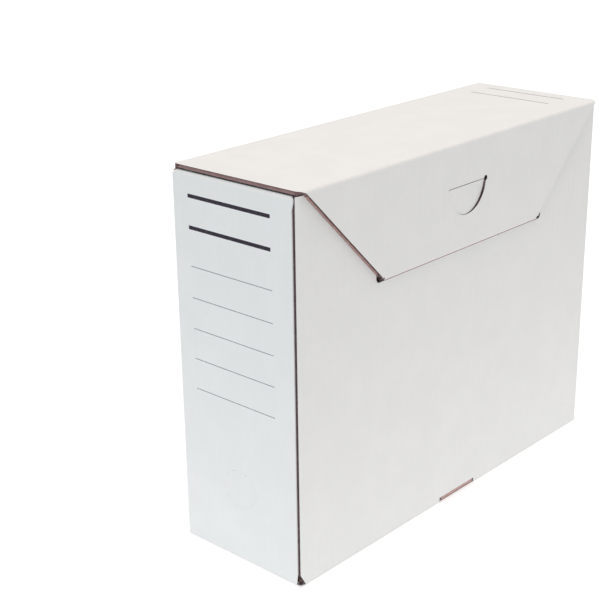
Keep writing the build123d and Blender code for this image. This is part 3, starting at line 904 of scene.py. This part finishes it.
# Raw faces round the tab's cut and along the foot take the dark raw finish: painted shade in the narrow cut
# and under the fold.
for face in closing_flap.data.polygons:
    from_tab = math.hypot(face.center.x, face.center.z - TAB_CREASE_Z)
    in_shade = from_tab < TAB_RADIUS + TAB_EDGE_REACH or face.center.z < FLAP_FOOT + FOOT_EDGE_REACH
    if in_shade and face.material_index in (CUT, CORE):
        face.material_index = LIGHT_AND_SHADE_CUT
    elif face.material_index == CUT and FLAP_IN - face.center.y > BOARD / 2:
        face.material_index = CORE
for vertex in closing_flap.data.vertices:
    on_slant = abs(abs(vertex.co.x) - flap_side(vertex.co.z)) < FLAP_SIDE_REACH
    on_side = on_slant and vertex.co.z > FLAP_FOOT + FLAP_LIP_FROM
    if on_side and FLAP_IN - vertex.co.y > PAST_PAPER:
        vertex.co.x -= math.copysign(FLAP_SIDE_LIP, vertex.co.x)
    from_tab = math.hypot(vertex.co.x, vertex.co.z - TAB_CREASE_Z)
    on_cut = vertex.co.x < 0 and abs(from_tab - TAB_RADIUS - TAB_CUT) < TAB_CUT
    if on_cut and FLAP_IN - vertex.co.y < BOARD - PAST_PAPER:
        vertex.co.x *= 1 + TAB_UNDERCUT / from_tab
        vertex.co.z += (vertex.co.z - TAB_CREASE_Z) * TAB_UNDERCUT / from_tab
side_foot = FLAP_FOOT + FOOT_EDGE_REACH
for side in (-1, 1):
    crushed = []
    for height, inset in ((side_foot, SIDE_CORE_FROM), (flap_top, SIDE_CORE_FROM),
                          (flap_top, SIDE_CORE_TO), (side_foot, SIDE_CORE_TO)):
        crushed.append((side * (flap_side(height) - inset), height))
    side_core = blank(crushed, PAPER, SIDE_CORE_DEPTH)
    set_in(side_core, in_flap, raw_core)
    weld(closing_flap, side_core)
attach(closing_flap, "flap")
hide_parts("closure_flap")


def flap_ends(out, up):
    """Ends of the front fold: the lid's full width on top, drawn in to the flap's slanted sides below."""
    cut_side = flap_side(LID_UNDER + up) - (FLAP_SIDE_LIP if out > PAST_PAPER else 0.0)
    left_share = min(1.0, math.atan2(max(0.0, out), up) / FLAP_SHOULDER)
    right_share = eased((out - DRAWN_IN_FROM) / DRAWN_IN_RUN) if up > UNDER_CREASE else 1.0
    left_end = LID_LEFT + (-cut_side - LID_LEFT) * left_share
    right_end = LID_RIGHT + (cut_side - LID_RIGHT) * right_share
    return left_end, right_end


lid_front_fold = fold_bar("lid_front_fold", crease, flap_ends,
                          lambda out, up, x: (x, FLAP_IN - out, LID_UNDER + up),
                          long_white, long_brown, cut_paper_painted_shade)
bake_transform(lid_front_fold)


# Tuck tongue: the flap's bottom edge, folded back at a right angle and pushed through the front wall's slot.
# The same board, with rounded free corners. Its fold is one bent stretch of board, and a band of it where it
# turns into the slot is painted brown: painted shade of the thin gap there.
TUCK_TIP = -0.04235
TUCK_RADIUS = 0.005
CREASE_SHADE_FROM, CREASE_SHADE_TO = 40.0, 64.0
SLOT_GAP_SHADE = 3

tuck_blank = blank(rectangle(-TUCK_HALF, TUCK_HALF, FLAP_IN + CREASE_ROOM, TUCK_TIP))
round_corners(tuck_blank, [(-TUCK_HALF, TUCK_TIP), (TUCK_HALF, TUCK_TIP)], TUCK_RADIUS)
tongue = corrugated("tuck_tongue_board", tuck_blank,
                    lambda across, along, depth: (across, along, FLAP_FOOT - depth),
                    long_white, long_brown, EDGES)
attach(tongue, "tongue")
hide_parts("tuck_tongue")

bent_over = fold_section(CREASE_ROOM, CREASE_ROOM, BOARD)
# The fold's cut ends take the dark raw finish: painted shade at the slot's ends.
tongue_fold = fold_bar("flap_bottom_fold", bent_over, lambda out, down: (-TUCK_HALF, TUCK_HALF),
                       lambda out, down, x: (x, FLAP_IN - out, FLAP_FOOT - down),
                       long_white, long_brown, raw_painted_shade)
# A band of the fold's outer face, where it turns into the slot, is painted reddish brown: painted shade of
# the thin gap at the slot.
slot_gap_painted_shade = raw_finish("crease_painted_shade", (0.430, 0.200, 0.190, 1.0), (0.360, 0.160, 0.155, 1.0))
tongue_fold.data.materials.append(slot_gap_painted_shade)
for face in tongue_fold.data.polygons:
    turn = math.degrees(math.atan2(FLAP_FOOT - face.center.z, FLAP_IN - face.center.y))
    if face.material_index == OUTSIDE and CREASE_SHADE_FROM < turn < CREASE_SHADE_TO:
        face.material_index = SLOT_GAP_SHADE
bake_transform(tongue_fold)


# Thumb tab: a half moon cut in the flap, hanging from a pressed crease and pushed in a little.
# A round hole at one end keeps the cut from tearing on. Pressing the tab frees the flap from the wall.
TAB_PUSHED_IN = math.radians(1.0)
TAB_PRESS = 0.0014
TAB_PRESS_FROM = -0.004
TAB_PRESS_BELOW = 0.003
PRESS_STEP_ASIDE, PRESS_STEP_DOWN = 0.002, 0.0008
TAB_SCORE, TAB_SCORE_DEPTH = 0.00019, 0.0012
TAB_SHIFT = 0.9 * TAB_CUT

tab_turn = (Matrix.Translation((0.0, FLAP_IN, TAB_CREASE_Z)) @ Matrix.Rotation(TAB_PUSHED_IN, 4, "X")
            @ Matrix.Translation((0.0, -FLAP_IN, -TAB_CREASE_Z)))


def press_in(piece):
    """Bends the tab's side away from the spine inwards, where a thumb has pressed it."""
    across = [((step * PRESS_STEP_ASIDE, 0.0, 0.0), (1.0, 0.0, 0.0)) for step in range(-2, 10)]
    down = [((0.0, 0.0, TAB_CREASE_Z - step * PRESS_STEP_DOWN), (0.0, 0.0, 1.0)) for step in range(1, 5)]
    slice_at(piece, across + down)
    for vertex in piece.data.vertices:
        aside = eased((vertex.co.x - TAB_PRESS_FROM) / (TAB_RADIUS - TAB_PRESS_FROM))
        below = eased((TAB_CREASE_Z - vertex.co.z) / TAB_PRESS_BELOW)
        vertex.co.y += TAB_PRESS * aside * below


tab_blank = disc_blank(-TAB_SHIFT, TAB_CREASE_Z, TAB_RADIUS, TAB_CREASE_Z - CREASE_ROOM)
combine(tab_blank, through(disc_blank(TAB_RADIUS, TAB_CREASE_Z, STOP_RADIUS, NO_CUT)))
thumb_tab = corrugated("thumb_tab_board", tab_blank, in_flap, long_white, long_brown, EDGES)
thumb_tab.data.transform(tab_turn)
press_in(thumb_tab)
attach(thumb_tab, "tab")
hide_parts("thumb_tab")


def crease_strip(name, half, room_up, room_down, score, depth, place, turn, outside, inside, raw):
    """Crease across a flat board: a strip with a narrow score in its face, turned by turn below the score."""
    section = [(0.0, room_up), (0.0, 0.0), (0.0, -room_down), (BOARD, -room_down), (BOARD, -score),
               (BOARD - depth, -score), (BOARD - depth, score), (BOARD, score), (BOARD, room_up)]
    bar = blank(section, 0.0, 1.0)
    dress(bar, name, (outside, inside, raw))
    for face in bar.data.polygons:
        at_end = abs(face.normal.z) > 0.5 or abs(face.normal.y) > 0.99
        if face.center.x > 0.7 * BOARD and not at_end:
            face.material_index = OUTSIDE
        elif face.center.x < 0.1 * BOARD and not at_end:
            face.material_index = INSIDE
        else:
            face.material_index = CUT
    for vertex in bar.data.vertices:
        out, up, end = vertex.co
        if up < 0:
            turned_out = out * math.cos(turn) + up * math.sin(turn)
            up = up * math.cos(turn) - out * math.sin(turn)
            out = turned_out
        vertex.co = place(out, up, -half if end < 0.5 else half)
    face_outwards(bar)
    return bar


tab_crease_half = (TAB_CREASE_RIGHT - TAB_CREASE_LEFT) / 2
tab_crease_middle = (TAB_CREASE_RIGHT + TAB_CREASE_LEFT) / 2
# The score's cut faces take the dark raw finish: painted shade in the groove.
tab_fold = crease_strip("tab_fold", tab_crease_half, CREASE_ROOM, CREASE_ROOM, TAB_SCORE, TAB_SCORE_DEPTH,
                        lambda out, up, x: (tab_crease_middle + x, FLAP_IN - out, TAB_CREASE_Z + up),
                        TAB_PUSHED_IN, long_white, long_brown, raw_painted_shade)
press_in(tab_fold)
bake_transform(tab_fold)


# Dust flaps: one turned in from the top of each end wall, lying under the lid with its free corners cut off.
# The same board, flutes along the box. Each fold is one bent stretch of board.
DUST_LENGTH = 0.068
DUST_CORNER = 0.014
DUST_SIDE_GAP = 0.001

for side, inner_edge, body, node, fold_name in (
        (-1, GLUE_IN, "spine_dust", "spine_dust_flap", "spine_top_fold"),
        (1, FRONT_IN, "rear_dust", "rear_dust_flap", "rear_top_fold")):
    dust_front = inner_edge + DUST_SIDE_GAP
    dust_back = BACK_IN - TOP_NOTCH
    dust_end = WALL_HALF - DUST_LENGTH
    dust_blank = blank([(dust_front, WALL_HALF - CREASE_ROOM), (dust_front, dust_end + DUST_CORNER),
                        (dust_front + DUST_CORNER, dust_end), (dust_back - DUST_CORNER, dust_end),
                        (dust_back, dust_end + DUST_CORNER), (dust_back, WALL_HALF - CREASE_ROOM)])
    dust_flap = corrugated(node + "_board", dust_blank,
                           lambda across, along, depth: (side * along, across, END_TOP + depth),
                           end_white, end_brown, EDGES)
    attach(dust_flap, body)
    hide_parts(node)
    top_fold = fold_bar(fold_name, bent_over, lambda out, up: (inner_edge, dust_back),
                        lambda out, up, y: (side * (WALL_HALF + out), y, END_TOP + up),
                        end_white, end_brown, cut_paper_painted_shade)
    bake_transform(top_fold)


# Finger disc: the knock-out of the spine's finger hole, left in place and held by a short crease at its top.
# It is pushed in to pull the box off a shelf.
DISC_RADIUS = 0.01346
DISC_SCORE, DISC_SCORE_DEPTH = 0.00002, 0.0003

finger_blank = disc_blank(HOLE_Y, HOLE_Z, DISC_RADIUS, DISC_CREASE_Z - DISC_ROOM_DOWN)
finger_disc = corrugated("finger_disc_board", finger_blank, in_spine, end_white, end_brown, EDGES)
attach(finger_disc, "finger_disc")
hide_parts("finger_disc")
disc_fold = crease_strip("finger_disc_fold", DISC_CREASE_HALF, DISC_ROOM_UP, DISC_ROOM_DOWN,
                         DISC_SCORE, DISC_SCORE_DEPTH,
                         lambda out, up, y: (SPINE_IN - out, HOLE_Y + y, DISC_CREASE_Z + up), 0.0,
                         end_white, end_brown, cut_paper_painted_shade)
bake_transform(disc_fold)


# Studio: a plain white sweep of floor, a broad soft lamp overhead, a weaker cool one on the spine's side,
# and an even white surrounding. The floor shows white to the camera and keeps the shadow cast on it.
FLOOR_SIZE, FLOOR_DROP = 12.0, 0.0002
FLOOR_GREY = (0.82, 0.82, 0.82, 1.0)
PURE_WHITE = (1.0, 1.0, 1.0, 1.0)
SKY_COLOUR = (0.970, 0.990, 1.0, 1.0)
SKY_SEEN, SKY_UNSEEN = 1.0, 0.722
FOOT_HALF_LENGTH, FOOT_HALF_WIDTH, FOOT_MIDDLE = 0.165, 0.0530, 0.0016


def seen_directly(tree):
    """1 where a surface is seen itself, or in a mirror or through glass, and 0 for the light it gives."""
    path = tree.nodes.new("ShaderNodeLightPath")
    mirrored = figure(tree, "MAXIMUM", path.outputs["Is Glossy Ray"], path.outputs["Is Transmission Ray"])
    return figure(tree, "MAXIMUM", path.outputs["Is Camera Ray"], mirrored)


clear_selection()
bpy.ops.mesh.primitive_plane_add(size=FLOOR_SIZE, location=(0.0, 0.0, -FLOOR_DROP))
floor = bpy.context.object
floor.name = "studio_floor"
floor_material = bpy.data.materials.new("studio_floor")
floor_material.use_nodes = True
floor_tree = floor_material.node_tree
floor_shader = floor_tree.nodes["Principled BSDF"]
floor_shader.inputs["Base Color"].default_value = FLOOR_GREY
floor_shader.inputs["Roughness"].default_value = 0.9
floor_shader.inputs["Emission Color"].default_value = PURE_WHITE
floor_split = floor_tree.nodes.new("ShaderNodeSeparateXYZ")
feed(floor_tree, floor_split.inputs[0], floor_tree.nodes.new("ShaderNodeTexCoord").outputs["Object"])
from_centre = figure(floor_tree, "ABSOLUTE", floor_split.outputs["X"])
off_middle = figure(floor_tree, "SUBTRACT", floor_split.outputs["Y"], FOOT_MIDDLE)
from_middle = figure(floor_tree, "ABSOLUTE", off_middle)
beyond_ends = figure(floor_tree, "SUBTRACT", from_centre, FOOT_HALF_LENGTH)
beyond_sides = figure(floor_tree, "SUBTRACT", from_middle, FOOT_HALF_WIDTH)
beyond = figure(floor_tree, "MAXIMUM", beyond_ends, beyond_sides)
floor_glow = graded(floor_tree, beyond, 0.10, 0.42, to_low=0.42, to_high=0.0)
not_under = graded(floor_tree, beyond, -0.0008, 0.0)
far_white = graded(floor_tree, beyond, 0.0, 1.4, to_low=0.34, to_high=0.52)
floor_white = figure(floor_tree, "MULTIPLY", not_under, far_white)
floor_seen = seen_directly(floor_tree)
hidden_glow = figure(floor_tree, "MULTIPLY", figure(floor_tree, "SUBTRACT", 1.0, floor_seen), floor_glow)
feed(floor_tree, floor_shader.inputs["Emission Strength"],
     figure(floor_tree, "MULTIPLY_ADD", floor_seen, floor_white, hidden_glow))
floor.data.materials.append(floor_material)

world = bpy.data.worlds.new("studio")
bpy.context.scene.world = world
world.use_nodes = True
world_tree = world.node_tree
world_back = world_tree.nodes["Background"]
world_seen = seen_directly(world_tree)
feed(world_tree, world_back.inputs["Color"], mixed(world_tree, world_seen, SKY_COLOUR, PURE_WHITE))
feed(world_tree, world_back.inputs["Strength"],
     figure(world_tree, "MULTIPLY_ADD", world_seen, SKY_SEEN - SKY_UNSEEN, SKY_UNSEEN))


def soft_lamp(name, location, turns, size, energy, colour):
    """Round soft lamp, turned by these angles in degrees."""
    bpy.ops.object.light_add(type="AREA", location=location)
    lamp = bpy.context.object
    lamp.name = name
    lamp.data.shape = "DISK"
    lamp.data.size = size
    lamp.data.energy = energy
    lamp.data.color = colour
    lamp.rotation_euler = [math.radians(turn) for turn in turns]


soft_lamp("soft_lamp_overhead", (-0.10, -0.10, 1.5), (4.4, -4.4, 0.0), size=1.4, energy=6.9,
          colour=(1.0, 0.820, 0.700))
soft_lamp("soft_lamp_spine_side", (-1.6, 0.1, 0.45), (0.0, -81.0, 0.0), size=1.0, energy=2.0,
          colour=(0.42, 0.78, 1.0))

bpy.ops.object.camera_add(location=(-0.69843, -0.54830, 0.46801),
                          rotation=(math.radians(69.560), math.radians(0.808), math.radians(-47.488)))
camera = bpy.context.object
camera.name = "camera"
camera.data.lens = 79.26
camera.data.sensor_width = 36.0
bpy.context.scene.camera = camera
bpy.context.scene.view_settings.view_transform = "Standard"
